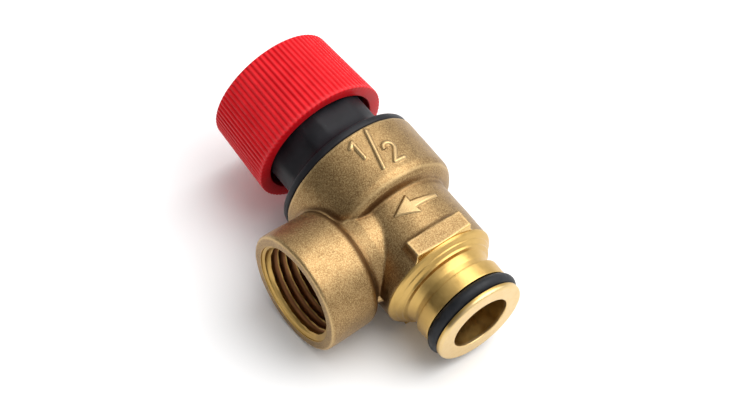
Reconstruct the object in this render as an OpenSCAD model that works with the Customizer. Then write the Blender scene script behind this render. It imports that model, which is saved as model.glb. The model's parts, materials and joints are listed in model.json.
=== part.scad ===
// Pressure relief valve with a push-in inlet spigot, a threaded side outlet and a quarter-turn
// test knob. Millimetres.
//
// Every piece is drawn about the valve's main axis: z runs from the face of the inlet nose to the
// knob, and x points out of the outlet. lay_down() then turns the valve to the way it lies on a
// table, so that up is +Z and the origin stays at the centre of the inlet nose.

/* [Resting pose] */
// Slope of the main axis on a table, with the spigot end down
rest_pitch = 7.37; // [0:0.01:20]
// Turn about the main axis that brings the outlet rim down onto the table
rest_roll = 4.95; // [0:0.01:20]

/* [Inlet spigot] */
// Bore of the spigot
inlet_bore_d = 12.7; // [11:0.1:13]
// Outer diameter of the nose in front of the seal
nose_d = 19.9; // [19.6:0.1:20.4]
// Outer diameter of the seal ring as fitted
o_ring_d = 21; // [20.6:0.1:21.4]
// Diameter at the bottom of the retaining clip's groove
clip_groove_d = 17.4; // [16.5:0.1:18.5]

/* [Body casting] */
// Outer diameter of the barrel between spigot and bowl
barrel_d = 24.7; // [24.5:0.1:25.4]
// Outer diameter of the bowl around the diaphragm
bowl_d = 31; // [30.6:0.1:32]
// Distance across the two raised spanner pads
pad_af = 25.6; // [25.6:0.1:26.4]
// Distance from the nose face to the outlet's axis
outlet_z = 25.8; // [25.4:0.1:26.4]
// Distance from the main axis to the outlet's rim
outlet_reach = 25.7; // [25:0.1:28]
// Outer diameter of the outlet boss
outlet_boss_d = 25.3; // [25:0.1:26.5]
// Bore of the outlet, which is the minor diameter of its 1/2 inch parallel pipe thread
outlet_thread_d = 18.632; // [18.6:0.001:18.7]

/* [Bonnet and knob] */
// Distance across the bonnet's six spanner flats
bonnet_af = 22.4; // [21.6:0.1:22.6]
// Outer diameter of the knob at its open end
knob_d = 29.6; // [29:0.1:30.5]
// Outer diameter of the knob at its closed end
knob_top_d = 27.6; // [27:0.1:29]
// Length of the knob
knob_length = 16.6; // [16.6:0.1:18]

/* [Mechanism] */
// Lift of the stem when the knob reaches its stop
test_lift = 1.3; // [0.8:0.1:1.4]
// Diameter of the stem
stem_d = 5; // [4.8:0.1:5.2]
// Wire diameter of the pressure spring
spring_wire_d = 2; // [1.6:0.1:2.1]
// Turns of the pressure spring
spring_turns = 5.5; // [4.5:0.5:6]

/* [Hidden] */
$fn = 96;

brass_cast = "#a8874c";
brass_cut = "#d9b35a";
rubber_black = "#1c1c1e";
plastic_black = "#26272a";
plastic_red = "#d8121c";
plastic_white = "#e6e4dc";
steel = "#b9bcc0";

// Gap between a sliding or turning piece and its guide, measured on the radius
running_gap = 0.05;
// Gap between faces that press together in use
face_gap = 0.02;
// Overshoot of a cut past the face that it opens
cut = 1;

// Heights along the main axis, in order from the nose
nose_edge = 0.5;
seal_groove_z = [1.2, 4.2];
clip_groove_z = [7.5, 10.5];
collar_z = 13;
pad_z = [13.1, 17.3];
throat_z = 16.4;
seat_floor_z = 18;
seat_z = 20.4;
shoulder_z = 27.3;
ledge_z = 32.4;
bowl_top_z = 41.4;
flange_top_z = 42.8;
neck_z = 46;
knob_z = 51;
hex_top_z = 53;
bonnet_top_z = 58.8;

seal_groove_d = 15.3;
o_ring_section = (o_ring_d - seal_groove_d) / 2;
land_d = 19.6;
collar_front_d = 20;
throat_d = 11;
seat_lip_d = 13.2;
chamber_d = 20;
bowl_bore_d = 26.8;
shoulder_r = (bowl_d - barrel_d) / 2;

outlet_back = 13.6;
outlet_neck_d = 19.9;
outlet_port_d = 14;
outlet_thread_end = 14.6;
outlet_edge = 1.3;
outlet_mouth_d = 20.955;
outlet_mouth_depth = 0.8;

pad_length = 13.2;
mark_height = 0.4;
stroke = 0.55;

skirt_d = bowl_bore_d - 2 * running_gap;
spring_room_d = 19.1;
bonnet_tube_d = 22.4;
bonnet_corner_d = 23.8;
flange_d = 30.6;
flat_turn = 7;

// Soft face, its holder and the small screws at both ends of the stem
screw_d = 3;
screw_head_d = 5.4;
screw_slot = 0.8;
screw_hole_d = 3.1;
screw_depth = 6;
disc_z = seat_z + face_gap;
disc_d = 15.4;
disc_thick = 2.2;
disc_washer_d = 8;
disc_washer_thick = 0.5;
disc_screw_head = 1.4;
disc_screw_tip_z = 27.8;
holder_d = 16.4;
holder_boss_d = 8.6;
holder_z = 22.2;
holder_top_z = 24.8;

// Diaphragm and the plate that backs it
diaphragm_d = bowl_bore_d - 0.2;
diaphragm_rim = 2;
diaphragm_rim_width = 1.8;
diaphragm_web = 1;
diaphragm_z = ledge_z + 0.4;
roll_r = 1.9;
roll_mid = 9.6;
slip_ring_hole_d = 23.5;
plate_z = diaphragm_z + diaphragm_web;
plate_hub_d = 13.4;
plate_spigot_d = 11;
plate_spigot = 5;
plate_floor = 1.6;
spring_seat_z = plate_z + 1.9;
spring_seat_d = 17.6;
spring_seat_thick = 1.6;
nut_pocket_d = 9.4;
nut_corner_d = 9.2;
nut_height = 2.7;

// Stem, spring and the ring that loads it
stem_foot_z = 24;
stem_head_z = 64;
spring_top_z = 52.6;
spring_mid_r = 7.3;
spring_gap = 0.1;
washer_thick = 0.8;
spring_washer_d = 18.5;
spring_washer_hole_d = 6;
ring_height = 3.6;
key_slot = 2;
key_slot_depth = 1.4;

// Bonnet's skirt and the quarter-turn ramps on its rim
skirt_pocket_d = 23.1;
skirt_pocket = 2;
ramp_angle = 100;
ramp_start = -50;
ramp_root = 0.5;
pad_angle = 14;
pad_clear = 0.25;

// Knob, its hub, screw and cover
hub_d = 10;
hub_clear = 0.4;
hub_top_z = stem_head_z - 0.1;
knob_top_z = knob_z + knob_length;
knob_wall = 2.5;
knob_roof_z = knob_z + 12.2;
cap_thick = 1.2;
cap_d = 19.8;
cap_gap = 0.05;
screw_pocket_d = 12;
knob_washer_d = 9;
knob_washer_thick = 0.6;
knob_screw_head = 1.5;

// Ring on the main axis from height z up, h high, between two diameters
module ring(outer_d, inner_d, z, h) {
    translate([0, 0, z]) difference() {
        cylinder(d = outer_d, h = h);
        translate([0, 0, -cut]) cylinder(d = inner_d, h = h + 2 * cut);
    }
}

// Plain bar on the main axis from height z up
module bar(d, z, h) {
    translate([0, 0, z]) cylinder(d = d, h = h);
}

// Driver slot across a screw's head
module slot(z, h) {
    translate([-screw_head_d, -screw_slot / 2, z]) cube([2 * screw_head_d, screw_slot, h]);
}

// Turned stretch between two heights and two diameters
module taper(d_low, d_high, z, h) {
    translate([0, 0, z]) cylinder(d1 = d_low, d2 = d_high, h = h);
}

// Turns the outlet's own axis into the valve's x axis
module along_outlet() {
    translate([0, 0, outlet_z]) rotate([0, 90, 0]) children();
}

// Lays the finished valve on the table
module lay_down() {
    rotate([rest_roll, rest_pitch, 0]) rotate([90, 0, -90]) children();
}

// Machined spigot: nose, seal groove, land, clip groove and tapered collar
module spigot() {
    taper(nose_d - 2 * nose_edge, nose_d, 0, nose_edge);
    bar(nose_d, nose_edge, seal_groove_z[0] - nose_edge);
    bar(seal_groove_d, 0, clip_groove_z[0]);
    bar(land_d, seal_groove_z[1], clip_groove_z[0] - seal_groove_z[1]);
    bar(clip_groove_d, clip_groove_z[0], collar_z - clip_groove_z[0]);
    taper(collar_front_d, barrel_d, clip_groove_z[1], collar_z - clip_groove_z[1]);
}

// Cast barrel, its round shoulder and the bowl
module barrel_and_bowl() {
    bar(barrel_d, collar_z, bowl_top_z - collar_z);
    bar(bowl_d, shoulder_z + shoulder_r, bowl_top_z - shoulder_z - shoulder_r);
    translate([0, 0, shoulder_z]) rotate_extrude() intersection() {
        translate([barrel_d / 2, shoulder_r]) circle(r = shoulder_r);
        square([bowl_d / 2, shoulder_r]);
    }
}

// Side outlet: a neck, then a boss with a rounded back
module outlet_boss() {
    along_outlet() {
        cylinder(d = outlet_neck_d, h = outlet_back + outlet_edge);
        translate([0, 0, outlet_back + outlet_edge])
            cylinder(d = outlet_boss_d, h = outlet_reach - outlet_back - outlet_edge);
        translate([0, 0, outlet_back]) rotate_extrude() {
            square([outlet_boss_d / 2 - outlet_edge, outlet_edge]);
            intersection() {
                translate([outlet_boss_d / 2 - outlet_edge, outlet_edge]) circle(r = outlet_edge);
                square([outlet_boss_d / 2, outlet_edge]);
            }
        }
    }
}

// Two flat pads for a spanner, on the top and the underside of the barrel
module spanner_pads() {
    translate([-pad_length / 2, -pad_af / 2, pad_z[0]])
        cube([pad_length, pad_af, pad_z[1] - pad_z[0]]);
}

// Lifts a flat drawing off a cylinder of diameter d, as a raised mark on its top
module raised_mark(d) {
    intersection() {
        rotate([90, 0, 180]) linear_extrude(d) children();
        cylinder(d = d + 2 * mark_height, h = bowl_top_z);
    }
}

// Straight stroke of a mark, from a to b
module stroke_line(a, b) {
    length = norm(b - a);
    translate(a) rotate(atan2(b[1] - a[1], b[0] - a[0])) {
        translate([0, -stroke / 2]) square([length, stroke]);
        circle(d = stroke, $fn = 24);
        translate([length, 0]) circle(d = stroke, $fn = 24);
    }
}

// Arrow along the barrel's top that shows the flow to the outlet
module flow_arrow() {
    raised_mark(barrel_d) translate([0, 23.3])
        polygon([[-4.1, 0.1], [0, 2.3], [0, 0.8], [5.7, 0], [5.7, -0.6], [0.3, -0.8], [0.4, -2.2]]);
}

// Nominal pipe size on the bowl's top, as a stacked fraction
module size_mark() {
    loop_r = 1.1;
    raised_mark(bowl_d) {
        stroke_line([-2.4, 35.6], [-2.4, 39.7]);
        stroke_line([-3.3, 38.9], [-2.4, 39.7]);
        stroke_line([-0.9, 31.6], [1.5, 40.3]);
        translate([3, 35]) difference() {
            circle(r = loop_r + stroke / 2, $fn = 48);
            circle(r = loop_r - stroke / 2, $fn = 48);
            translate([-2 * loop_r, -4 * loop_r]) square([2 * loop_r, 4 * loop_r]);
            translate([0, -4 * loop_r]) rotate(20) square([loop_r, 4 * loop_r]);
        }
        stroke_line([3.9, 34.3], [1.9, 31.6]);
        stroke_line([1.9, 31.6], [4.2, 31.6]);
    }
}

module valve_body() {
    color(brass_cast) lay_down() difference() {
        union() {
            spigot();
            barrel_and_bowl();
            outlet_boss();
            spanner_pads();
            flow_arrow();
            size_mark();
        }
        bar(inlet_bore_d, -cut, throat_z + cut);
        bar(throat_d, 0, seat_z + cut);
        ring(chamber_d, seat_lip_d, seat_floor_z, seat_z - seat_floor_z);
        bar(chamber_d, seat_z, ledge_z);
        bar(bowl_bore_d, ledge_z, bowl_top_z);
        along_outlet() {
            cylinder(d = outlet_port_d, h = outlet_reach);
            translate([0, 0, outlet_thread_end])
                cylinder(d = outlet_thread_d, h = outlet_reach);
            translate([0, 0, outlet_reach - outlet_mouth_depth])
                cylinder(d1 = outlet_thread_d, d2 = outlet_mouth_d, h = outlet_mouth_depth);
            translate([0, 0, outlet_reach]) cylinder(d = outlet_mouth_d, h = cut);
        }
    }
}

module inlet_o_ring() {
    mid_z = (seal_groove_z[0] + seal_groove_z[1]) / 2;
    color(rubber_black) lay_down() translate([0, 0, mid_z]) rotate_extrude()
        translate([(o_ring_d - o_ring_section) / 2, 0]) circle(d = o_ring_section, $fn = 48);
}

// Soft face that closes on the seat
module seat_disc() {
    color(rubber_black) lay_down() ring(disc_d, screw_hole_d + 2 * running_gap, disc_z, disc_thick);
}

module disc_washer() {
    color(steel) lay_down()
        ring(disc_washer_d, screw_hole_d, disc_z - disc_washer_thick, disc_washer_thick);
}

// Holds the soft face and its washer to the holder and the stem
module disc_screw() {
    head_z = disc_z - disc_washer_thick - disc_screw_head;
    color(steel) lay_down() difference() {
        union() {
            bar(screw_head_d, head_z, disc_screw_head);
            bar(screw_d, head_z, disc_screw_tip_z - head_z);
        }
        slot(head_z - cut, disc_screw_head / 2 + cut);
    }
}

// Cup around the soft face, on a boss that carries the diaphragm
module disc_holder() {
    color(brass_cut) lay_down() difference() {
        union() {
            bar(holder_d, holder_z, holder_top_z - holder_z);
            bar(holder_boss_d, holder_top_z, diaphragm_z - holder_top_z);
        }
        bar(disc_d, holder_z - cut, disc_z + disc_thick - holder_z + cut);
        bar(screw_d, holder_z, stem_foot_z - holder_z + cut);
        bar(stem_d, stem_foot_z, diaphragm_z);
    }
}

// Rolling diaphragm with a thick clamped rim and one convolution
module diaphragm() {
    roll_low_r = roll_mid - roll_r;
    roll_high_r = roll_mid + roll_r;
    color(rubber_black) lay_down() {
        ring(diaphragm_d, diaphragm_d - 2 * diaphragm_rim_width, ledge_z, diaphragm_rim);
        translate([0, 0, diaphragm_z]) rotate_extrude() {
            translate([stem_d / 2, 0])
                square([roll_low_r - stem_d / 2 + diaphragm_web, diaphragm_web]);
            translate([roll_high_r - diaphragm_web, 0])
                square([diaphragm_d / 2 - roll_high_r + diaphragm_web, diaphragm_web]);
            translate([roll_mid, diaphragm_web]) difference() {
                circle(r = roll_r, $fn = 48);
                circle(r = roll_r - diaphragm_web, $fn = 48);
                translate([-roll_r, -2 * roll_r]) square([2 * roll_r, 2 * roll_r]);
            }
        }
    }
}

// Keeps the bonnet from twisting the diaphragm's rim as it is screwed down
module slip_ring() {
    color(plastic_white) lay_down()
        ring(diaphragm_d, slip_ring_hole_d, ledge_z + diaphragm_rim, washer_thick);
}

// Backs the diaphragm and centres the foot of the spring
module diaphragm_plate() {
    color(brass_cut) lay_down() difference() {
        union() {
            bar(plate_hub_d, plate_z, spring_seat_z - plate_z);
            bar(spring_seat_d, spring_seat_z, spring_seat_thick);
            bar(plate_spigot_d, plate_z, plate_spigot);
        }
        bar(stem_d, plate_z - cut, plate_spigot + 2 * cut);
        bar(nut_pocket_d, plate_z + plate_floor, plate_spigot);
    }
}

// Clamps holder, diaphragm and plate together on the stem
module stem_nut() {
    color(steel) lay_down() difference() {
        translate([0, 0, plate_z + plate_floor]) cylinder(d = nut_corner_d, h = nut_height, $fn = 6);
        bar(stem_d, plate_z, plate_floor + nut_height + cut);
    }
}

module stem() {
    color(brass_cut) lay_down() difference() {
        bar(stem_d, stem_foot_z, stem_head_z - stem_foot_z);
        bar(screw_d, stem_foot_z - cut, disc_screw_tip_z - stem_foot_z + cut);
        bar(screw_d, stem_head_z - screw_depth, screw_depth + cut);
    }
}

// Points of a circle of radius r across a helix that climbs by lead, at turn angle a
function wire_circle(a, coil_r, r, z, lead, sides) = [
    for (i = [0 : sides - 1])
        let (b = 360 * i / sides, out = coil_r + r * cos(b))
            [out * cos(a), out * sin(a), z + lead * a / 360 + r * sin(b)]
];

// Round wire wound into a helix
module coil(coil_r, r, z, lead, turns, sides, steps_a_turn) {
    steps = round(turns * steps_a_turn);
    points = [for (s = [0 : steps]) each wire_circle(s * 360 / steps_a_turn, coil_r, r, z, lead, sides)];
    start = [for (i = [0 : sides - 1]) i];
    end = [for (i = [sides - 1 : -1 : 0]) steps * sides + i];
    walls = [
        for (s = [0 : steps - 1], i = [0 : sides - 1])
            let (j = (i + 1) % sides, low = s * sides, high = low + sides)
                [low + i, high + i, high + j, low + j]
    ];
    polyhedron(points, concat([start, end], walls));
}

// Sets the relief pressure
module spring() {
    wire_r = spring_wire_d / 2;
    foot = spring_seat_z + spring_seat_thick + wire_r + spring_gap;
    lead = (spring_top_z - foot - wire_r - spring_gap) / spring_turns;
    color(steel) lay_down() coil(spring_mid_r, wire_r, foot, lead, spring_turns, 8, 20);
}

module spring_washer() {
    color(steel) lay_down() ring(spring_washer_d, spring_washer_hole_d, spring_top_z, washer_thick);
}

// Screws down on the spring to set the pressure, with two slots for a key
module adjusting_ring() {
    low = spring_top_z + washer_thick;
    color(brass_cut) lay_down() difference() {
        ring(spring_room_d - 2 * running_gap, stem_d + 2 * running_gap, low, ring_height);
        translate([-spring_room_d / 2, -key_slot / 2, low + ring_height - key_slot_depth])
            cube([spring_room_d, key_slot, key_slot_depth + cut]);
    }
}

// One quarter-turn ramp on the bonnet's rim: a ring cut off by a sloping plane
module ramp() {
    mid_r = (bonnet_tube_d + spring_room_d) / 4;
    slope = atan(test_lift / (2 * mid_r * sin(45)));
    intersection() {
        rotate(ramp_start) translate([0, 0, bonnet_top_z - ramp_root]) rotate_extrude(angle = ramp_angle)
            translate([spring_room_d / 2, 0])
                square([(bonnet_tube_d - spring_room_d) / 2, test_lift + 2 * ramp_root]);
        translate([0, 0, bonnet_top_z + test_lift / 2]) rotate([slope, 0, 0])
            translate([0, -bonnet_tube_d, -bonnet_tube_d])
                cube([bonnet_tube_d, 2 * bonnet_tube_d, bonnet_tube_d]);
    }
}

// Screws into the bowl, holds the spring and carries the ramps
module bonnet() {
    skirt_z = ledge_z + diaphragm_rim + washer_thick;
    flare_r = neck_z - flange_top_z;
    color(plastic_black) lay_down() {
        difference() {
            union() {
                bar(skirt_d, skirt_z, bowl_top_z - skirt_z);
                bar(flange_d, bowl_top_z, flange_top_z - bowl_top_z);
                taper(flange_d, bonnet_corner_d, flange_top_z, flare_r);
                intersection() {
                    bar(bonnet_corner_d, flange_top_z, hex_top_z - flange_top_z);
                    rotate(flat_turn) translate([0, 0, flange_top_z])
                        cylinder(d = bonnet_af / cos(30), h = bonnet_top_z, $fn = 6);
                }
                bar(bonnet_tube_d, flange_top_z, bonnet_top_z - flange_top_z);
            }
            bar(spring_room_d, skirt_z - cut, bonnet_top_z);
            bar(skirt_pocket_d, skirt_z - cut, skirt_pocket + cut);
        }
        for (side = [0, 180]) rotate(side) ramp();
    }
}

// Two pads inside the knob that climb the ramps
module knob_pads() {
    pad_inner = spring_room_d / 2 + 3 * running_gap;
    pad_outer = bonnet_tube_d / 2 - running_gap;
    for (side = [0, 180]) rotate(side + ramp_start) translate([0, 0, bonnet_top_z + pad_clear])
        rotate_extrude(angle = pad_angle) translate([pad_inner, 0])
            square([pad_outer - pad_inner, knob_roof_z - bonnet_top_z]);
}

module knob() {
    inner_d = knob_d - 2 * knob_wall;
    color(plastic_red) lay_down() {
        difference() {
            taper(knob_d, knob_top_d, knob_z, knob_length);
            taper(inner_d, knob_top_d - 2 * knob_wall, knob_z, knob_roof_z - knob_z);
            bar(inner_d, knob_z - cut, cut);
            bar(stem_d + 2 * running_gap, knob_z, knob_length + cut);
            bar(screw_pocket_d, hub_top_z, knob_length);
            bar(cap_d + 2 * cap_gap, knob_top_z - cap_thick - 2 * cap_gap, knob_length);
        }
        ring(hub_d, stem_d + 2 * running_gap, bonnet_top_z + hub_clear, knob_roof_z - bonnet_top_z);
        knob_pads();
    }
}

module knob_washer() {
    color(steel) lay_down() ring(knob_washer_d, screw_hole_d, stem_head_z, knob_washer_thick);
}

// Draws the knob and the stem together
module knob_screw() {
    head_z = stem_head_z + knob_washer_thick;
    color(steel) lay_down() difference() {
        union() {
            bar(screw_head_d, head_z, knob_screw_head);
            bar(screw_d, head_z - screw_depth, screw_depth + knob_screw_head);
        }
        slot(head_z + knob_screw_head / 2, cut + knob_screw_head);
        rotate(90) slot(head_z + knob_screw_head / 2, cut + knob_screw_head);
    }
}

// Blank cover over the screw
module knob_cap() {
    color(plastic_red) lay_down() bar(cap_d, knob_top_z - cap_thick, cap_thick);
}

valve_body();
inlet_o_ring();
seat_disc();
disc_washer();
disc_screw();
disc_holder();
diaphragm();
slip_ring();
diaphragm_plate();
stem_nut();
stem();
spring();
spring_washer();
adjusting_ring();
bonnet();
knob();
knob_washer();
knob_screw();
knob_cap();
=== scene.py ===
import json
import math

import bmesh
import bpy
import numpy as np
from mathutils import Matrix, Vector


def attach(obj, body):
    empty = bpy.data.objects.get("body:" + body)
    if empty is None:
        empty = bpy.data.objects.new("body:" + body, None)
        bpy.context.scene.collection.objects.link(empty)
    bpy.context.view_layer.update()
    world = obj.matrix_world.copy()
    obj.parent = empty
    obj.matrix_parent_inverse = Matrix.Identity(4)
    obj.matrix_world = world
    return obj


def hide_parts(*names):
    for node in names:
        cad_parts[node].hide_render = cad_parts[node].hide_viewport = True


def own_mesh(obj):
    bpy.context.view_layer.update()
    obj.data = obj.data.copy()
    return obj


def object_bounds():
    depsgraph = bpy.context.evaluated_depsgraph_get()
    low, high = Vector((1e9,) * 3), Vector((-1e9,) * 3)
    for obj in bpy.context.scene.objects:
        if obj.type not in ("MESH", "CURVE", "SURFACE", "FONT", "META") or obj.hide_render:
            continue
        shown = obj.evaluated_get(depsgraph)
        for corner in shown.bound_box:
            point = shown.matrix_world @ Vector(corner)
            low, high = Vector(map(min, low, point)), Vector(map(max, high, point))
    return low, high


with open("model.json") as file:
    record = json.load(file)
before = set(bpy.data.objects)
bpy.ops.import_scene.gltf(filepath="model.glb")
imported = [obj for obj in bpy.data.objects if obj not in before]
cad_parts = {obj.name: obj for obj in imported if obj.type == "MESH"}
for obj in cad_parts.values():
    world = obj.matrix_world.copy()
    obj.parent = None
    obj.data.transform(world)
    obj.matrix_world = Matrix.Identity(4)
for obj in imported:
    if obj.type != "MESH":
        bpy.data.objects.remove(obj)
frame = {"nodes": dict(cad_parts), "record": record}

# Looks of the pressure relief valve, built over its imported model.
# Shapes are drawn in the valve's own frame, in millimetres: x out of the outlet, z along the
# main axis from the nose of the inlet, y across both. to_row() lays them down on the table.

MM = 0.001
cad_low, cad_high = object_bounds()
mounts = {mount["name"]: mount for mount in frame["record"]["mounts"]}
AXIS = -Vector(mounts["inlet_bore"]["axis"]).normalized()
OUT = Vector(mounts["outlet_thread"]["axis"]).normalized()
SIDE = AXIS.cross(OUT)
ORIGIN = Vector(mounts["inlet_bore"]["pos_m"])
TURN = np.array([OUT, SIDE, AXIS])

# Sizes shared by several pieces
OUTLET_Z = 25.8  # height of the outlet's axis
OUTLET_REACH = 25.7  # from the main axis to the outlet's rim
INSERT_START = 24.0  # where the casting ends and the turned mouth of the outlet begins
SPIGOT_END = 13.1  # where the turned spigot ends and the casting begins
BORE_R = mounts["inlet_bore"]["dims"]["r_mm"]
THREAD_R = mounts["outlet_thread"]["dims"]["r_mm"]
BARREL_R = 12.35
BOWL_R = 15.5
BOSS_R = 12.65
BOSS_BACK = 13.5  # distance from the main axis to the back of the outlet boss
KNOB_LOW, KNOB_TOP = 51.0, 67.6
CAST_GAP = 0.045  # how far the uneven cast skin lies inside the nominal one


# ---------------------------------------------------------------- shapes


def to_row(points):
    """From the valve's frame in millimetres to the shared frame in metres."""
    return np.array(ORIGIN) + np.asarray(points, float) * MM @ TURN


def rounded(side, end, edge):
    """Distance to the region where both distances are negative, with the corner between them rounded."""
    side, end = side + edge, end + edge
    return np.minimum(np.maximum(side, end), 0) + np.hypot(np.maximum(side, 0), np.maximum(end, 0)) - edge


def drum(across, along, radius, low, high, edge=0.0):
    """Distance to a round bar between two heights, with rounded edges."""
    return rounded(across - radius, np.abs(along - (low + high) / 2) - (high - low) / 2, edge)


def block(x, y, z, half, edge):
    """Distance to a box of half sizes `half` round the origin, with rounded edges."""
    d = [np.abs(c) - h + edge for c, h in zip((x, y, z), half)]
    out = np.sqrt(sum(np.maximum(c, 0) ** 2 for c in d))
    return out + np.minimum(np.maximum(np.maximum(d[0], d[1]), d[2]), 0) - edge


def join(a, b, blend):
    """Union of two fields, with a fillet of about `blend` between them."""
    near = np.maximum(blend - np.abs(a - b), 0) / blend
    return np.minimum(a, b) - near * near * blend / 4


def common(a, b, blend):
    """Intersection of two fields, with its edge eased by about `blend`."""
    return -join(-a, -b, blend)


def wobble(x, y, z, size):
    """Slow unevenness of a sand mould."""
    waves = [(0.9, 0.5, -0.3, 0.0), (-0.4, 1.1, 0.6, 1.7), (0.7, -0.8, 1.0, 4.1), (1.5, 0.9, 0.4, 2.6)]
    total = sum(np.sin(a * x + b * y + c * z + d) for a, b, c, d in waves)
    return size * total / len(waves)


def surface_net(field, low, step):
    """Quads round the zero level of a field sampled on a grid."""
    inside = field < 0
    size = np.array(field.shape) - 1
    corners = [(i, j, k) for i in (0, 1) for j in (0, 1) for k in (0, 1)]
    count = np.zeros(size, np.int8)
    for i, j, k in corners:
        count += inside[i : i + size[0], j : j + size[1], k : k + size[2]]
    cells = np.argwhere((count > 0) & (count < 8))
    index = np.full(size, -1)
    index[tuple(cells.T)] = np.arange(len(cells))
    total, hits = np.zeros((len(cells), 3)), np.zeros(len(cells))
    for start in corners:
        for axis in range(3):
            if start[axis]:
                continue
            run = np.eye(3)[axis]
            here = field[tuple((cells + start).T)]
            there = field[tuple((cells + start + run.astype(int)).T)]
            crossed = (here < 0) != (there < 0)
            share = here[crossed] / (here[crossed] - there[crossed])
            total[crossed] += np.array(start) + share[:, None] * run
            hits[crossed] += 1
    points = low + step * (cells + total / hits[:, None])
    quads = []
    for axis in range(3):
        u, v = (axis + 1) % 3, (axis + 2) % 3
        here, there = [slice(1, -1)] * 3, [slice(1, -1)] * 3
        here[axis], there[axis] = slice(0, -1), slice(1, None)
        a, b = inside[tuple(here)], inside[tuple(there)]
        at = np.argwhere(a != b) + 1
        at[:, axis] -= 1
        eu, ev = np.eye(3, dtype=int)[u], np.eye(3, dtype=int)[v]
        quad = np.stack([index[tuple((at - s).T)] for s in (eu + ev, ev, 0 * eu, eu)], 1)
        flip = ~a[a != b]
        quad[flip] = quad[flip][:, ::-1]
        quads.append(quad)
    return points, np.concatenate(quads)


def slopes(points, field, reach=0.02):
    """Gradient of a field at each point."""
    at = points.T
    grad = [field(*(at + reach * e[:, None])) - field(*(at - reach * e[:, None])) for e in np.eye(3)]
    return np.array(grad).T / (2 * reach)


def settle(points, field, step):
    """Moves the net's points onto the exact zero level."""
    for _ in range(2):
        grad = slopes(points, field)
        move = field(*points.T)[:, None] * grad / np.maximum((grad**2).sum(1), 0.1)[:, None]
        points = points - np.clip(move, -0.3 * step, 0.3 * step)
    return points


def solid_net(field, low, high, step):
    """Points and quads of the surface where a field is zero, within a box."""
    low = np.array(low, float)
    size = np.ceil((np.array(high) - low) / step).astype(int) + 1
    axes = [low[i] + step * np.arange(size[i]) for i in range(3)]
    samples = field(*np.meshgrid(*axes, indexing="ij", sparse=True)) + np.zeros(size)
    points, quads = surface_net(samples, low, step)
    return settle(points, field, step), quads


def only(points, quads, keep):
    """The quads that keep() picks by their middle points, with the points they use."""
    quads = quads[keep(points[quads].mean(1))]
    used, quads = np.unique(quads, return_inverse=True)
    return points[used], quads.reshape(-1, 4)


def outline(*corners):
    """Turns (radius, height, rounding) corners into an open line with arcs at the rounded ones."""
    line = []
    for i, (r, z, edge) in enumerate(corners):
        here = np.array([r, z], float)
        if not edge:
            line.append(here)
            continue
        before = np.array(corners[i - 1][:2], float) - here
        after = np.array(corners[(i + 1) % len(corners)][:2], float) - here
        before, after = before / np.linalg.norm(before), after / np.linalg.norm(after)
        half = math.acos(float(np.clip(before @ after, -1, 1))) / 2
        back = edge / math.tan(half)
        middle = here + (before + after) / np.linalg.norm(before + after) * edge / math.sin(half)
        start, stop = here + before * back - middle, here + after * back - middle
        turn = math.atan2(start[0] * stop[1] - start[1] * stop[0], start @ stop)
        steps = max(2, int(abs(turn) / 0.3))
        for k in range(steps + 1):
            c, s = math.cos(turn * k / steps), math.sin(turn * k / steps)
            line.append(middle + np.array([c * start[0] - s * start[1], s * start[0] + c * start[1]]))
    return np.array(line)


def spaced(line, step):
    """Adds points to an open line so that none of its stretches is longer than step."""
    parts = []
    for a, b in zip(line[:-1], line[1:]):
        n = max(1, int(np.ceil(np.linalg.norm(b - a) / step)))
        parts += [a + (b - a) * k / n for k in range(n)]
    return np.array(parts + [line[-1]])


def lathe(line, turns, closed=False):
    """Radii, heights and angles of a turned surface, and its quads. Its outside is left of the line."""
    angle = np.arange(turns) * 2 * np.pi / turns
    rows = len(line)
    radius = np.repeat(line[:, :1], turns, 1)
    height = np.repeat(line[:, 1:], turns, 1)
    i = np.arange(rows if closed else rows - 1)[:, None]
    j = np.arange(turns)[None]
    over, across = (i + 1) % rows, (j + 1) % turns
    quads = np.stack([i * turns + j, over * turns + j, over * turns + across, i * turns + across], -1)
    return radius, height, np.repeat(angle[None], rows, 0), quads.reshape(-1, 4)


def turned_length(line, turns):
    """Distance run along a turned line, for each point of its surface."""
    run = np.concatenate([[0], np.cumsum(np.linalg.norm(np.diff(line, axis=0), axis=1))])
    return np.repeat(run, turns)


def on_axis(radius, height, angle):
    """Points round the main axis."""
    return np.stack([radius * np.cos(angle), radius * np.sin(angle), height], -1).reshape(-1, 3)


def on_outlet(radius, height, angle):
    """Points round the outlet's axis."""
    return np.stack([height, radius * np.cos(angle), OUTLET_Z + radius * np.sin(angle)], -1).reshape(-1, 3)


def piece(name, points, faces, look, body, node, crease=None):
    """Makes a piece that stands for a node and rides on a body. Edges above `crease` degrees stay sharp."""
    mesh = bpy.data.meshes.new(name)
    faces = faces.tolist() if isinstance(faces, np.ndarray) else faces
    mesh.from_pydata(to_row(points).tolist(), [], faces)
    mesh.polygons.foreach_set("use_smooth", np.ones(len(mesh.polygons), bool))
    mesh.update()
    if crease:
        mesh.set_sharp_from_angle(angle=math.radians(crease))
    mesh.materials.append(LOOKS[look])
    made = bpy.data.objects.new(name, mesh)
    bpy.context.scene.collection.objects.link(made)
    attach(made, body)
    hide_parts(node)
    return made


# ---------------------------------------------------------------- finishes


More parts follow.
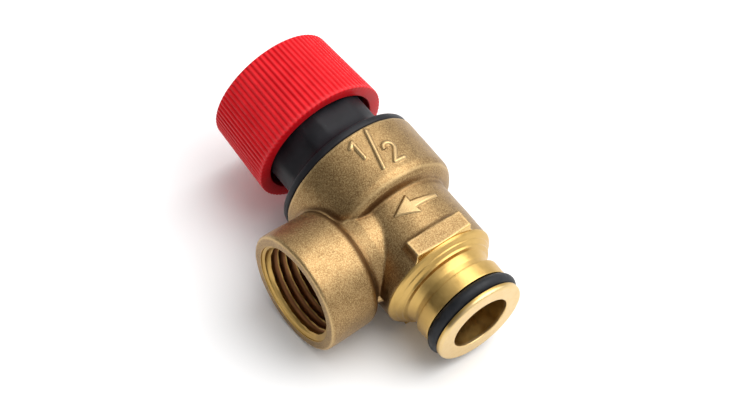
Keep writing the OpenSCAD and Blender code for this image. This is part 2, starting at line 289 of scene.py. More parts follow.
class Finish:
    """A procedural material under construction. Positions come in the valve's frame, in millimetres."""

    def __init__(self, name):
        self.made = bpy.data.materials.new(name)
        self.made.use_nodes = True
        self.tree = self.made.node_tree
        self.shader = self.tree.nodes["Principled BSDF"]
        self.place = self.tree.nodes.new("ShaderNodeTexCoord").outputs["Object"]

    def feed(self, socket, value):
        if isinstance(value, bpy.types.NodeSocket):
            self.tree.links.new(value, socket)
        else:
            socket.default_value = value

    def node(self, kind, inputs=(), **settings):
        made = self.tree.nodes.new(kind)
        for key, value in settings.items():
            setattr(made, key, value)
        for key, value in dict(inputs).items():
            self.feed(made.inputs[key], value)
        return made

    def math(self, operation, a, b):
        return self.node("ShaderNodeMath", {0: a, 1: b}, operation=operation).outputs[0]

    def along(self, direction):
        """Distance in millimetres from the origin along a direction."""
        inputs = {0: self.place, 1: Vector(direction) / MM}
        return self.node("ShaderNodeVectorMath", inputs, operation="DOT_PRODUCT").outputs["Value"]

    def noise(self, size, detail=2.0, rough=0.5, place=None):
        """Noise from 0 to 1, with features of about `size` millimetres."""
        inputs = {"Vector": place or self.place, "Scale": 1 / (size * MM)}
        inputs.update({"Detail": detail, "Roughness": rough})
        return self.node("ShaderNodeTexNoise", inputs).outputs["Fac"]

    def cells(self, size):
        """Distance from the middles of cells of about `size` millimetres."""
        inputs = {"Vector": self.place, "Scale": 1 / (size * MM)}
        return self.node("ShaderNodeTexVoronoi", inputs).outputs["Distance"]

    def band(self, value, low, high, to_low=0.0, to_high=1.0):
        """Eases from to_low to to_high while the value goes from low to high."""
        inputs = {0: value, 1: low, 2: high, 3: to_low, 4: to_high}
        return self.node("ShaderNodeMapRange", inputs, interpolation_type="SMOOTHSTEP").outputs[0]

    def mix(self, share, a, b):
        made = self.node("ShaderNodeMix", data_type="RGBA")
        sockets = {s.identifier: s for s in made.inputs}
        for key, value in (("Factor_Float", share), ("A_Color", a), ("B_Color", b)):
            if isinstance(value, tuple):
                value = (*value, 1.0)
            self.feed(sockets[key], value)
        return next(s for s in made.outputs if s.identifier == "Result_Color")

    def attribute(self, name):
        return self.node("ShaderNodeAttribute", attribute_name=name).outputs["Fac"]

    def bump(self, height, depth, strength=1.0, over=None):
        inputs = {"Height": height, "Distance": depth * MM, "Strength": strength}
        if over is not None:
            inputs["Normal"] = over
        return self.node("ShaderNodeBump", inputs).outputs["Normal"]

    def finish(self, **values):
        names = {
            "colour": "Base Color", "rough": "Roughness", "metal": "Metallic", "normal": "Normal",
            "gloss": "Specular IOR Level",
        }
        for key, value in values.items():
            if isinstance(value, tuple):
                value = (*value, 1.0)
            self.feed(self.shader.inputs[names[key]], value)
        return self.made


def cast_brass():
    look = Finish("cast_brass")
    grain = look.noise(0.28, 3.0, 0.65)
    fine = look.noise(0.2, 2.0, 0.6)
    clouds = look.noise(2.6, 3.0, 0.55)
    pits = look.band(look.cells(0.5), 0.05, 0.3)
    speck = look.band(look.math("ADD", grain, look.math("MULTIPLY", fine, 0.5)), 0.62, 0.95)
    tone = look.mix(look.band(clouds, 0.35, 0.65), (0.235, 0.138, 0.056), (0.305, 0.185, 0.078))
    tone = look.mix(look.math("MULTIPLY", speck, 0.7), tone, (0.56, 0.40, 0.19))
    tone = look.mix(look.band(fine, 0.5, 0.3, 0.0, 0.55), tone, (0.15, 0.085, 0.035))
    # painted shade darkens the hollows, and the proud edges are lightened, partly rubbed wear and partly
    # painted highlight
    tone = look.mix(look.band(look.attribute("hollow"), 0.03, 0.5, 0.0, 0.85), tone, (0.13, 0.065, 0.025))
    tone = look.mix(look.band(look.attribute("proud"), 0.1, 1.0, 0.0, 0.75), tone, (0.74, 0.53, 0.26))
    # the cut end of the barrel starts at an uneven line, and the boss next to it stays as cast
    height = look.math("ADD", look.along(AXIS), look.math("MULTIPLY", look.noise(1.1), 0.9))
    cut_z, boss_x = SPIGOT_END + 0.45, BOSS_BACK - 0.5
    cut = look.math(
        "MULTIPLY", look.band(height, cut_z + 0.2, cut_z), look.band(look.along(OUT), boss_x, boss_x - 0.4)
    )
    cut = look.math("MAXIMUM", cut, look.band(look.attribute("trimmed"), 0.35, 0.75))
    tone = look.mix(cut, tone, (0.68, 0.46, 0.17))
    rough = look.band(grain, 0.3, 0.7, 0.34, 0.50)
    rough = look.math("SUBTRACT", rough, look.math("MULTIPLY", cut, 0.15))
    relief = look.math("ADD", look.math("MULTIPLY", grain, 0.7), look.math("MULTIPLY", pits, 0.3))
    as_cast = look.math("SUBTRACT", 1.0, cut)
    normal = look.bump(relief, 0.08, look.math("MULTIPLY", as_cast, 0.65))
    return look.finish(colour=tone, rough=rough, metal=1.0, normal=normal)


def cut_brass():
    look = Finish("cut_brass")
    # marks of the tool run round the work, so their noise only changes along the turned line
    rings = look.node("ShaderNodeCombineXYZ", {"X": look.attribute("turned")}).outputs[0]
    rings = look.node("ShaderNodeVectorMath", {0: rings, 1: (MM, MM, MM)}, operation="MULTIPLY").outputs[0]
    lines = look.noise(0.16, 2.0, 0.7, place=rings)
    clouds = look.noise(1.8, 3.0)
    stain = look.band(look.noise(0.9, 4.0, 0.65), 0.56, 0.72)
    hollow = look.attribute("hollow")
    tone = look.mix(clouds, (0.50, 0.31, 0.085), (0.64, 0.43, 0.15))
    # the nose's face is paler than the turned sides
    tone = look.mix(look.band(look.along(AXIS), 0.9, 0.4), tone, (0.72, 0.53, 0.26))
    tone = look.mix(look.math("MULTIPLY", stain, 0.12), tone, (0.45, 0.26, 0.09))
    # painted shade where the hollow value is high: down the bore and between thread crests
    tone = look.mix(look.band(hollow, 0.05, 0.9, 0.0, 0.9), tone, (0.21, 0.08, 0.038))
    rough = look.math("ADD", look.band(clouds, 0.3, 0.7, 0.29, 0.40), look.math("MULTIPLY", stain, 0.04))
    rough = look.math("ADD", rough, look.math("MULTIPLY", hollow, 0.12))
    normal = look.bump(lines, 0.012, 0.5, look.bump(look.noise(0.35), 0.01, 0.3))
    return look.finish(colour=tone, rough=rough, metal=1.0, normal=normal)


def black_plastic():
    look = Finish("black_plastic")
    clouds = look.noise(3.0, 3.0)
    tone = look.mix(look.band(clouds, 0.3, 0.7), (0.005, 0.005, 0.007), (0.009, 0.009, 0.012))
    dust = look.band(look.noise(0.5, 3.0, 0.7), 0.62, 0.78)
    tone = look.mix(look.math("MULTIPLY", dust, 0.25), tone, (0.05, 0.048, 0.052))
    rough = look.band(clouds, 0.3, 0.7, 0.38, 0.5)
    normal = look.bump(look.noise(0.25), 0.02, 0.5, look.bump(clouds, 0.08, 0.3))
    return look.finish(colour=tone, rough=rough, metal=0.0, normal=normal, gloss=0.25)


def red_plastic():
    look = Finish("red_plastic")
    clouds = look.noise(3.5, 3.0)
    tone = look.mix(look.band(clouds, 0.3, 0.7), (0.58, 0.005, 0.010), (0.66, 0.008, 0.014))
    # rib crests and the open edge are lightened, partly wear and partly painted highlight
    wear_and_painted_highlight = look.band(look.attribute("proud"), 0.4, 1.0, 0.0, 0.25)
    tone = look.mix(wear_and_painted_highlight, tone, (0.86, 0.10, 0.11))
    rough = look.band(clouds, 0.3, 0.7, 0.34, 0.44)
    normal = look.bump(look.noise(0.3), 0.015, 0.4)
    return look.finish(colour=tone, rough=rough, metal=0.0, normal=normal, gloss=0.12)


def black_rubber():
    look = Finish("black_rubber")
    clouds = look.noise(1.2, 3.0)
    tone = look.mix(look.band(clouds, 0.3, 0.7), (0.004, 0.005, 0.007), (0.009, 0.010, 0.013))
    rough = look.band(clouds, 0.3, 0.7, 0.42, 0.6)
    normal = look.bump(look.noise(0.2), 0.02, 0.5)
    return look.finish(colour=tone, rough=rough, metal=0.0, normal=normal, gloss=0.3)


def white_plastic():
    look = Finish("white_plastic")
    clouds = look.noise(2.0, 3.0)
    tone = look.mix(clouds, (0.78, 0.76, 0.70), (0.84, 0.82, 0.77))
    normal = look.bump(look.noise(0.3), 0.02, 0.4)
    return look.finish(colour=tone, rough=look.band(clouds, 0.3, 0.7, 0.35, 0.45), metal=0.0, normal=normal)


def steel():
    look = Finish("steel")
    clouds = look.noise(1.5, 3.0)
    tone = look.mix(clouds, (0.50, 0.51, 0.52), (0.60, 0.61, 0.62))
    normal = look.bump(look.noise(0.15, 3.0), 0.015, 0.5)
    return look.finish(colour=tone, rough=look.band(clouds, 0.3, 0.7, 0.25, 0.38), metal=1.0, normal=normal)


LOOKS = {
    make.__name__: make()
    for make in (cast_brass, cut_brass, black_plastic, red_plastic, black_rubber, white_plastic, steel)
}


def record_shape(made, points, field, reach):
    """Stores on a piece how hollow and how proud its surface is at each point."""
    grad = slopes(points, field)
    way = grad / np.maximum(np.linalg.norm(grad, axis=1), 1e-6)[:, None]
    above = field(*(points + reach * way).T) / reach
    below = -field(*(points - reach * way).T) / reach
    # hollow drives painted shade in recesses; proud lightens edges, partly rubbed wear and partly painted
    # highlight
    store(made, "hollow", np.clip(1 - above, 0, 1))
    store(made, "proud", np.clip(1 - below, 0, 0.5))


def store(made, name, value):
    """Keeps one value for each of a piece's points, for its material to read."""
    layer = made.data.attributes.new(name, "FLOAT", "POINT")
    layer.data.foreach_set("value", np.asarray(value, np.float32))


# ---------------------------------------------------------------- casting


def trim_gap(rho, z):
    """Signed distance to the flat cone that the lathe left on the front of the pads."""
    return 13.08 - z + 0.12 * (rho - 12.4)


def casting_outside(x, y, z):
    """Barrel, bowl, spanner pads, neck and outlet boss, with the uneven skin of a casting."""
    rho = np.hypot(x, y)
    barrel = drum(rho, z, BARREL_R, 10, 40, 0.1)
    bowl = np.maximum(drum(rho, z, BOWL_R, 27.3, 60, 3.15), drum(rho, z, BOWL_R, 20, 41.4, 0.3))
    body = join(barrel, bowl, 0.7)
    pads = block(x, y, z - 14.3, (6.6, 12.75, 3.0), 0.4)
    pads = common(pads, trim_gap(rho, z), 0.1)
    body = join(body, pads, 0.9)
    across = np.hypot(y, z - OUTLET_Z)
    neck_r = 9.7 + 0.65 * np.clip((13.6 - x) / 3.5, 0, 1)
    neck = drum(across, x, neck_r, 0, 16, 0.1)
    body = join(body, neck, 0.4)
    boss_r = BOSS_R - 0.35 + 0.35 * np.clip((x - 13.6) / 10, 0, 1)
    boss = drum(across, x, boss_r, BOSS_BACK, 32, 2.3)
    body = join(body, boss, 1.3)
    nub = np.sqrt((x - 12.7) ** 2 + (2 * y) ** 2 + (z - 15.5) ** 2) - 0.75
    body = join(body, nub, 0.5)
    return body + CAST_GAP + wobble(x, y, z, 0.035)


def passages(x, y, z):
    """All that is open inside the body: inlet, throat, chamber round the seat lip, bowl and outlet."""
    rho = np.hypot(x, y)
    inlet = drum(rho, z, BORE_R + 0.5, -5, 16.7)
    throat = drum(rho, z, 5.5, 0, 22)
    seat_lip = np.maximum(rho - 6.6, z - 20.4)
    chamber = np.maximum(drum(rho, z, 10, 18, 33), -seat_lip)
    bowl = drum(rho, z, 13.4, 32.4, 50)
    across = np.hypot(y, z - OUTLET_Z)
    port = drum(across, x, 7, 0, 40)
    thread = drum(across, x, 11.2, 14.4, 40)
    hollow = np.minimum(np.minimum(inlet, throat), np.minimum(chamber, bowl))
    return np.minimum(hollow, np.minimum(port, thread))


def casting(x, y, z):
    body = common(casting_outside(x, y, z), SPIGOT_END - z, 0.1)
    return common(body, -passages(x, y, z), 0.15)


def build_casting():
    step = 0.27
    points, quads = solid_net(casting, (-16.2, -16.2, 12.6), (25.2, 16.2, 42), step)
    points, quads = only(points, quads, lambda at: at[:, 0] < INSERT_START + 0.15)

    def is_outside(at):
        return -passages(*at.T) < casting_outside(*at.T)

    for name, keep in (
        ("valve_body.casting", lambda at: ~is_outside(at)),
        ("valve_body.passages", is_outside),
    ):
        some, faces = only(points, quads, keep)
        made = piece(name, some, faces, "cast_brass", "housing", "valve_body")
        record_shape(made, some, casting_outside, 0.9)
        paint_shade_and_highlight(made, some)
        x, y, z = some.T
        rho = np.hypot(x, y)
        trimmed = np.clip(1 + trim_gap(rho, z) / 0.3, 0, 1)
        store(made, "trimmed", trimmed * (rho > 12.0) * (x < 9))


def raise_value(made, name, value):
    """Lifts an attribute to at least the given value."""
    old = np.zeros(len(value))
    made.data.attributes[name].data.foreach_get("value", old)
    made.data.attributes[name].data.foreach_set("value", np.maximum(old, value))


def bell(value, middle, width):
    """1 at the middle, easing to 0 within about two widths."""
    return np.exp(-(((value - middle) / width) ** 2))


def paint_shade_and_highlight(made, points):
    """Painted shade in the crease under the bowl's shoulder and where the neck meets the boss, with a
    painted highlight along the shoulder.
    """
    x, y, z = points.T
    rho, across = np.hypot(x, y), np.hypot(y, z - OUTLET_Z)
    # painted shade in the downward-facing undercut below the bowl's shoulder
    crease = bell(z, 27.7, 0.6) * (np.abs(rho - 13.0) < 1.1) * np.clip(0.4 + x / 30, 0.15, 0.6)
    # painted shade in the valley where the neck meets the boss
    valley_painted_shade = 0.55 * bell(x, 14.1, 1.1) * (across < 12.3) * (across > 9)
    # painted highlight along the bowl's rounded shoulder
    shoulder = 0.55 * bell(z, 28.7, 0.4) * (rho > 14) * (x < 12.5)
    raise_value(made, "hollow", crease + valley_painted_shade)
    raise_value(made, "proud", shoulder)


def stroke_gap(u, v, a, b, width):
    """Distance to a straight stroke with round ends."""
    along = np.array(b) - np.array(a)
    share = np.clip(((u - a[0]) * along[0] + (v - a[1]) * along[1]) / (along @ along), 0, 1)
    return np.hypot(u - a[0] - share * along[0], v - a[1] - share * along[1]) - width / 2


def arrow_gap(u, v):
    """Signed distance to the arrow's outline."""
    v = v - 23.3
    corners = [(-4.1, 0.1), (0.4, -2.2), (0.3, -0.8), (5.7, -0.6), (5.7, 0), (0, 0.8), (0, 2.3)]
    gap, inside = np.full(np.broadcast(u, v).shape, 1e9), np.zeros(np.broadcast(u, v).shape, bool)
    for (ax, ay), (bx, by) in zip(corners, corners[1:] + corners[:1]):
        gap = np.minimum(gap, stroke_gap(u, v, (ax, ay), (bx, by), 0))
        crosses = (ay > v) != (by > v)
        inside ^= crosses & (u < (bx - ax) * (v - ay) / ((by - ay) or 1) + ax)
    return np.where(inside, -gap, gap)


def number_gap(u, v):
    """Signed distance to the strokes of the size mark, a generic pipe size."""
    stroke = 0.6
    lines = [
        ((-2.4, 35.6), (-2.4, 39.7)), ((-3.3, 38.9), (-2.4, 39.7)), ((-0.9, 31.6), (1.5, 40.3)),
        ((3.9, 34.3), (1.9, 31.6)), ((1.9, 31.6), (4.2, 31.6)),
    ]
    gap = np.minimum.reduce([stroke_gap(u, v, a, b, stroke) for a, b in lines])
    loop = np.abs(np.hypot(u - 3, v - 35) - 1.1) - stroke / 2
    turn = np.arctan2(v - 35, u - 3)
    loop = np.where((turn > -0.75) | (turn < -3.1), loop, 9)
    return np.minimum(gap, loop)


def build_mark(name, gap, radius, low, high):
    """A raised mark on a round wall of the casting, with a foot that runs into the wall."""
    step, height, edge, foot_width = 0.11, 0.34, 0.25, 0.5

    def field(x, y, z):
        mark = rounded(gap(-x, z), np.hypot(x, y) - radius - height, edge)
        return join(mark, casting_outside(x, y, z) - 0.012, 0.45)

    def is_mark(at):
        x, y, z = at.T
        return (gap(-x, z) < foot_width) & (np.hypot(x, y) > radius - 0.2)

    points, quads = solid_net(field, low, high, step)
    points, quads = only(points, quads, is_mark)
    made = piece(name, points, quads, "cast_brass", "housing", "valve_body")
    x, y, z = points.T
    side, rise = gap(-x, z), np.hypot(x, y) - radius
    # painted shade at the foot of each stroke; the raised strokes are lightened, partly rubbed wear and
    # partly painted highlight
    store(made, "hollow", 0.12 * bell(side, 0.2, 0.12) * (rise < 0.1))
    store(made, "proud", np.clip(0.6 + 0.4 * bell(side, 0, 0.15) - 4 * np.maximum(side - 0.05, 0), 0, 1))


def build_spigot():
    """Turned end of the body: collar, clip groove, land, seal groove, nose and the bore."""
    turns = 256
    line = outline(
        (12.0, 13.4, 0), (12.36, 13.2, 0), (12.36, 12.98, 0.06), (12.1, 12.55, 0.3), (11.3, 12.0, 0.15),
        (11.2, 11.75, 0.12), (10.5, 11.2, 0.3), (10.42, 10.78, 0.07), (10.2, 10.7, 0.07), (9.65, 10.5, 0.1),
        (9.35, 9.9, 0.5), (8.95, 8.9, 0.6), (8.95, 7.6, 0.15), (9.85, 7.4, 0.12), (9.8, 4.2, 0.15),
        (7.65, 4.2, 0.2), (7.65, 1.2, 0.2), (9.95, 1.2, 0.12), (9.95, 0, 0.55),
        (BORE_R, 0, 0.25), (BORE_R, 16.4, 0.1), (5.45, 16.4, 0),
    )
    line = spaced(line, 0.3)
    radius, height, angle, quads = lathe(line, turns)
    points = on_axis(radius, height, angle)
    made = piece("valve_body.spigot", points, quads, "cut_brass", "housing", "valve_body", 50)
    # painted shade, growing deeper into the bore
    in_bore = (radius < BORE_R + 0.15) & (height > 0.3)
    store(made, "hollow", np.where(in_bore, np.clip((height - 1) / 6, 0, 1) * 0.22, 0.0).ravel())
    store(made, "turned", turned_length(line, turns))


def build_outlet():
    """Threaded mouth of the outlet with its rim: 1.814 mm pitch, crests at the thread's minor radius."""
    pitch, root, turns = 1.814, 9.9, 240
    inner_end, rim = 15.2, OUTLET_REACH
    line = outline(
        (7, 14.6, 0), (10.3, 14.6, 0.2), (10.3, inner_end, 0), (THREAD_R, inner_end + 0.1, 0),
        (THREAD_R, rim - 0.85, 0.1), (10.35, rim - 0.33, 0.05), (10.45, rim - 0.3, 0.05), (10.5, rim, 0.08),
        (BOSS_R, rim, 0.75), (BOSS_R, INSERT_START, 0),
    )
    line = spaced(line, 0.1)
    radius, height, angle, quads = lathe(line, turns)
    # thin crests with round-bottomed grooves between them, which fade out at the inner end
    turn = (height / pitch - angle / (2 * np.pi)) % 1
    groove = np.sin(np.pi * turn) ** 0.65
    in_thread = (radius > THREAD_R - 0.02) & (radius < 10.3) & (height > inner_end) & (height < rim - 0.35)
    cut = np.maximum(radius, THREAD_R + (root - THREAD_R) * groove)
    run_in = np.clip((height - inner_end) / 0.8, 0, 1)
    radius = np.where(in_thread, radius + (cut - radius) * run_in, radius)
    # the outside carries on the casting's uneven skin
    outer = ((height < rim - 0.01) & (radius > 11)) | (radius > BOSS_R - 0.76)
    uneven = CAST_GAP + wobble(*on_outlet(radius, height, angle).T, 0.05).reshape(radius.shape)
    points = on_outlet(np.where(outer, radius - uneven + 0.008, radius), height, angle)
    made = piece("valve_body.outlet", points, quads, "cut_brass", "housing", "valve_body", 60)
    made.data.materials.append(LOOKS["cast_brass"])
    is_cast = radius.ravel()[quads].mean(1) > 10.55
    made.data.polygons.foreach_set("material_index", is_cast.astype(np.int32))
    # painted shade deep in the mouth and between the thread crests
    painted_shade_depth = np.clip((rim - 1.2 - height) / 1.5, 0, 1) * (radius < 10.6)
    between_crests = np.clip(np.minimum(turn, 1 - turn) / 0.14, 0, 1)
    store(made, "hollow", np.clip(painted_shade_depth * between_crests, 0, 1).ravel())
    store(made, "turned", turned_length(line, turns))
    # painted highlight along the rim's rounded outer edge
    edge = np.clip(1 - np.abs(radius - (BOSS_R - 0.35)) / 0.5, 0, 1) * (height > rim - 0.6)
    store(made, "proud", (0.7 * edge).ravel())


def build_o_ring():
    """Seal ring with a faint moulding line round its outside."""
    turns, sides, middle, section, centre_z = 240, 28, 9.075, 1.425, 2.7
    b = -np.arange(sides) * 2 * np.pi / sides
    line = np.stack([middle + section * np.cos(b), centre_z + section * np.sin(b)], 1)
    line[:, 0] += 0.02 * bell(np.abs(np.sin(b)), 0, 0.12) * (np.cos(b) > 0) - 0.02
    radius, height, angle, quads = lathe(line[::-1], turns, closed=True)
    points = on_axis(radius, height, angle)
    piece("inlet_o_ring.ring", points, quads[:, ::-1], "black_rubber", "housing", "inlet_o_ring")


# ---------------------------------------------------------------- bonnet


def bonnet(x, y, z):
    """Skirt, flange, spanner flats, and the tube with the two ramps at its end."""
    rho = np.hypot(x, y)
    inner_r, outer_r, lift = 9.55, 11.2, 1.3
    skirt = drum(rho, z, 13.35, 35.2, 41.6, 0.15)
    flange = drum(rho, z, 15.3, 41.42, 43.1, 0.55)
    flats = np.max([x * math.cos(a) + y * math.sin(a) for a in np.radians(37 + 60 * np.arange(6))], 0)
    hexagon = common(common(flats - outer_r, rho - 11.9, 0.25), np.abs(z - 47) - 6.0, 0.3)
    tube = drum(rho, z, outer_r, 41.8, 58.8, 0.12)
    body = join(np.minimum(hexagon, tube), flange, 3.4)
    body = join(body, skirt, 0.2)
    # each ramp rises by the lift within a quarter turn
    wall = np.maximum(rho - outer_r, inner_r - rho)
    slope = lift / ((inner_r + outer_r) * math.sin(math.radians(45)))
    half = math.radians(50)
    for way in (1, -1):
        sector = np.abs(y) * math.cos(half) - way * x * math.sin(half)
        top = (z - 59.45 - way * slope * y) / math.hypot(1, slope)
        ramp = np.maximum(np.maximum(wall, sector), np.maximum(top, 58.3 - z))
        body = np.minimum(body, ramp)
    bore = np.minimum(rho - inner_r, drum(rho, z, 11.55, 30, 37.2))
    return common(body, -bore, 0.12) + wobble(x, y, z, 0.012)


def build_bonnet():
    points, quads = solid_net(bonnet, (-15.8, -15.8, 34.8), (15.8, 15.8, 60.6), 0.27)
    made = piece("bonnet.body", points, quads, "black_plastic", "housing", "bonnet")
    record_shape(made, points, bonnet, 0.4)


# ---------------------------------------------------------------- knob


def build_knob():
    """Ribbed shell with the hub that the stem's screw holds and the seat for the cap."""
    ribs, points_per_rib = 80, 10
    rib_depth, end_depth = 0.24, 0.09
    low, top = KNOB_LOW, KNOB_TOP
    line = outline(
        (13.8, top, 0.5), (14.78, low + 0.4, 0), (14.8, low, 0.22), (12.3, low, 0.2),
        (11.3, 63.2, 0.4), (5, 63.2, 0.3), (5, 59.2, 0.15), (2.55, 59.2, 0.1), (2.55, 63.9, 0.1),
        (6, 63.9, 0.15), (6, 66.3, 0.1), (9.95, 66.3, 0.1), (9.95, top, 0.15),
    )
    parts = []
    for a, b in zip(line, np.roll(line, -1, 0)):
        spacing = 0.9 if min(a[0], b[0]) > 13 else 3.0
        n = max(1, int(np.ceil(np.linalg.norm(b - a) / spacing)))
        parts += [a + (b - a) * k / n for k in range(n)]
    radius, height, angle, quads = lathe(np.array(parts), ribs * points_per_rib, closed=True)
    groove = (0.5 + 0.5 * np.cos(ribs * angle)) ** 1.5
    from_low = np.clip((height - low - 0.35) / 0.3, 0, 1)
    from_top = np.clip((top - 0.05 - height) / 0.3, 0, 1)
    skin = np.clip((radius - 12.9) / 0.4, 0, 1)
    cut = rib_depth * groove * from_low * from_top * skin
    # the ribs carry on faintly to the open edge
    end_cut = end_depth * groove * (1 - from_low) * np.clip((radius - 14.3) / 0.4, 0, 1)
    points = on_axis(radius - cut - end_cut, height, angle)
    made = piece("knob.shell", points, quads, "red_plastic", "knob_assembly", "knob", 70)
    # lightens the rib crests and the open end ring, partly wear and partly painted highlight
    ends = bell(height, low + 0.45, 0.3) * (radius > 14)
    store(made, "proud", np.clip((1 - groove) * skin * 0.75 + ends, 0, 1).ravel())


def build_knob_pads():
    """The two pads inside the knob that climb the ramps."""
    edge, steps = 0.12, 8
    middle_r, middle_z, half_r, half_z = 10.425, 61.15, 0.72, 2.1
    section = [
        (-half_r + edge, -half_z), (half_r - edge, -half_z), (half_r, -half_z + edge), (half_r, half_z),
        (-half_r, half_z), (-half_r, -half_z + edge),
    ]
    n = len(section)
    points, faces = [], []
    for side in (0, 180):
        first, last = math.radians(side - 50), math.radians(side - 36)
        start = len(points)
        for k in range(steps + 1):
            angle = first + (last - first) * k / steps
            pull = edge if k in (0, steps) else 0.0
            for r, z in section:
                r = middle_r + r * (1 - pull / half_r)
                z = middle_z + z * (1 - pull / half_z)
                points.append((r * math.cos(angle), r * math.sin(angle), z))
        for k in range(steps):
            for i in range(n):
                a, b = start + k * n + i, start + k * n + (i + 1) % n
                faces.append((a, a + n, b + n, b))
        faces.append(tuple(start + i for i in range(n)))
        faces.append(tuple(start + steps * n + i for i in reversed(range(n))))
    made = piece("knob.pads", np.array(points), faces, "red_plastic", "knob_assembly", "knob", 30)
    tidy_normals(made)


def build_cap():
    """Blank cap, slightly crowned, in the knob's closed end."""
    top, low, rim_r, tip_r = KNOB_TOP, 66.4, 9.9, 0.01
    line = outline(
        (tip_r, top - 0.18, 0), (7.5, top - 0.1, 2.0), (9.6, top - 0.02, 0.15), (rim_r, top - 0.3, 0.2),
        (rim_r, low, 0.2), (tip_r, low, 0),
    )
    radius, height, angle, quads = lathe(spaced(line, 0.8)[::-1], 160)
    points = on_axis(radius, height, angle)
    made = piece("knob_cap.disc", points, quads, "red_plastic", "knob_assembly", "knob_cap", 60)
    tidy_normals(made)


def build_spring():
    """Round wire wound in a helix, closed at both ends of the wire. The real spring shortens as the stem
    lifts; this coil is built at one length.
    """
    wire, middle, lead, coils, foot = 1.0, 7.3, 2.38, 5.5, 38.4
    sides, steps = 18, 56
    rings = int(coils * steps)
    angle = np.arange(rings + 1)[:, None] * 2 * np.pi / steps
    b = np.arange(sides)[None] * 2 * np.pi / sides
    radius = middle + wire * np.cos(b)
    height = foot + lead * angle / (2 * np.pi) + wire * np.sin(b)
    points = on_axis(radius, height, angle)
    i, j = np.arange(rings)[:, None] * sides, np.arange(sides)[None]
    next_j = (j + 1) % sides
    quads = np.stack([i + j, i + sides + j, i + sides + next_j, i + next_j], -1)
    faces = quads.reshape(-1, 4).tolist()
    faces.append(list(range(sides)))
    faces.append([rings * sides + k for k in reversed(range(sides))])
    made = piece("spring.coil", points, faces, "steel", "housing", "spring", 50)
    tidy_normals(made)
    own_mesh(made)


def tidy_normals(made):
    """Turns all faces of a closed piece outwards."""
    shape = bmesh.new()
    shape.from_mesh(made.data)
    bmesh.ops.recalc_face_normals(shape, faces=shape.faces)
    shape.to_mesh(made.data)
    shape.free()


# ---------------------------------------------------------------- carried-over nodes


def dress_inner_nodes():
    """Finishes for the CAD's own nodes inside the valve, which keep their shapes."""
    looks = {
        "diaphragm": "black_rubber", "seat_disc": "black_rubber", "slip_ring": "white_plastic",
        "adjusting_ring": "cut_brass", "disc_holder": "cut_brass", "diaphragm_plate": "cut_brass",
        "stem": "cut_brass", "spring_washer": "steel", "disc_washer": "steel", "disc_screw": "steel",
        "stem_nut": "steel", "knob_washer": "steel", "knob_screw": "steel",
    }
    for name, look in looks.items():
        node = frame["nodes"][name]
        for place in node.material_slots:
            place.link = "OBJECT"
            place.material = LOOKS[look]


# ---------------------------------------------------------------- table, light and camera


def build_table(level):
    """Flat, pale table top."""
    half, count = 1.6, 81
    spread = np.linspace(-half, half, count)
    x, y = np.meshgrid(spread, spread, indexing="ij")
    points = np.stack([x, y, np.full_like(x, level)], -1).reshape(-1, 3)
    i = np.arange(count - 1)[:, None] * count + np.arange(count - 1)[None]
    quads = np.stack([i, i + count, i + count + 1, i + 1], -1).reshape(-1, 4)
    mesh = bpy.data.meshes.new("table_top")
    mesh.from_pydata(points.tolist(), [], quads.tolist())
    look = Finish("table_white")
    tone = look.mix(look.noise(40.0), (0.90, 0.90, 0.90), (0.92, 0.92, 0.92))
    mesh.materials.append(look.finish(colour=tone, rough=0.7, gloss=0.2))
    table = bpy.data.objects.new("table_top", mesh)
    bpy.context.scene.collection.objects.link(table)


def add_light(name, place, aim_at, size, power):
    lamp = bpy.data.lights.new(name, "AREA")
    lamp.shape = "RECTANGLE"
    lamp.size, lamp.size_y = size
    lamp.energy = power
    made = bpy.data.objects.new(name, lamp)
    made.location = place
    made.rotation_euler = (aim_at - place).to_track_quat("-Z", "Y").to_euler()
    bpy.context.scene.collection.objects.link(made)


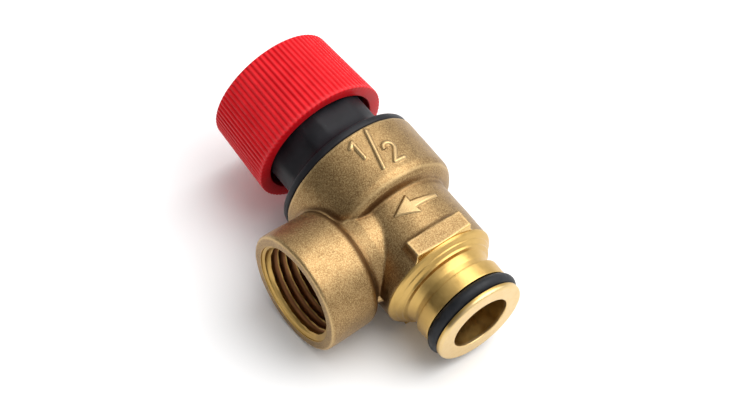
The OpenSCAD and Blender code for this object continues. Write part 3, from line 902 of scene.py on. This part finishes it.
def build_world():
    """Soft room, bright behind on the right and above, darker in front on the left."""
    brightest = Vector((0.25, 0.80, 0.55)).normalized()
    darkest_at, brightest_at, darkest, full = -0.85, 0.75, 0.10, 0.95
    world = bpy.data.worlds.new("soft_studio")
    world.use_nodes = True
    tree = world.node_tree
    back = tree.nodes["Background"]
    way = tree.nodes.new("ShaderNodeTexCoord").outputs["Generated"]
    facing = tree.nodes.new("ShaderNodeVectorMath")
    facing.operation = "DOT_PRODUCT"
    tree.links.new(way, facing.inputs[0])
    facing.inputs[1].default_value = brightest
    ramp = tree.nodes.new("ShaderNodeMapRange")
    ramp.interpolation_type = "SMOOTHSTEP"
    for i, value in enumerate((darkest_at, brightest_at, darkest, full)):
        ramp.inputs[i + 1].default_value = value
    tree.links.new(facing.outputs["Value"], ramp.inputs[0])
    tree.links.new(ramp.outputs[0], back.inputs["Strength"])
    back.inputs["Color"].default_value = (1.0, 1.0, 1.0, 1.0)
    bpy.context.scene.world = world


def build_camera(target):
    """Looks at the target from the given angles, turned by `roll` about its own line of sight."""
    azimuth, elevation, roll = (math.radians(a) for a in (46.53, 48.20, 6.31))
    distance = 0.5985
    level_way = math.cos(elevation)
    forward = Vector((-math.sin(azimuth) * level_way, math.cos(azimuth) * level_way, -math.sin(elevation)))
    level = forward.cross(Vector((0, 0, 1))).normalized()
    right = level * math.cos(roll) + level.cross(forward) * math.sin(roll)
    lens = bpy.data.cameras.new("photo_camera")
    lens.lens, lens.sensor_width, lens.clip_start = 147.0, 36.0, 0.01
    camera = bpy.data.objects.new("photo_camera", lens)
    facing = Matrix((right, (-forward).cross(right), -forward)).transposed().to_4x4()
    camera.matrix_world = Matrix.Translation(target - forward * distance) @ facing
    bpy.context.scene.collection.objects.link(camera)
    bpy.context.scene.camera = camera


build_casting()
build_mark("valve_body.size_mark", number_gap, BOWL_R, (-5.3, 14.3, 30.6), (4.4, 16.2, 41.2))
build_mark("valve_body.flow_arrow", arrow_gap, BARREL_R, (-6.6, 10.4, 20.4), (5.0, 13.1, 26.4))
build_spigot()
build_outlet()
build_o_ring()
build_bonnet()
build_knob()
build_knob_pads()
build_cap()
build_spring()
dress_inner_nodes()
build_table(cad_low[2])

centre = (Vector(cad_low) + Vector(cad_high)) / 2
aim = centre + Vector((3.02, 3.78, 0.13)) * MM
build_world()
add_light("key_box", centre + Vector((0.20, 0.33, 0.78)), centre, size=(1.0, 1.0), power=9.0)
build_camera(aim)

scene = bpy.context.scene
scene.view_settings.view_transform = "Standard"
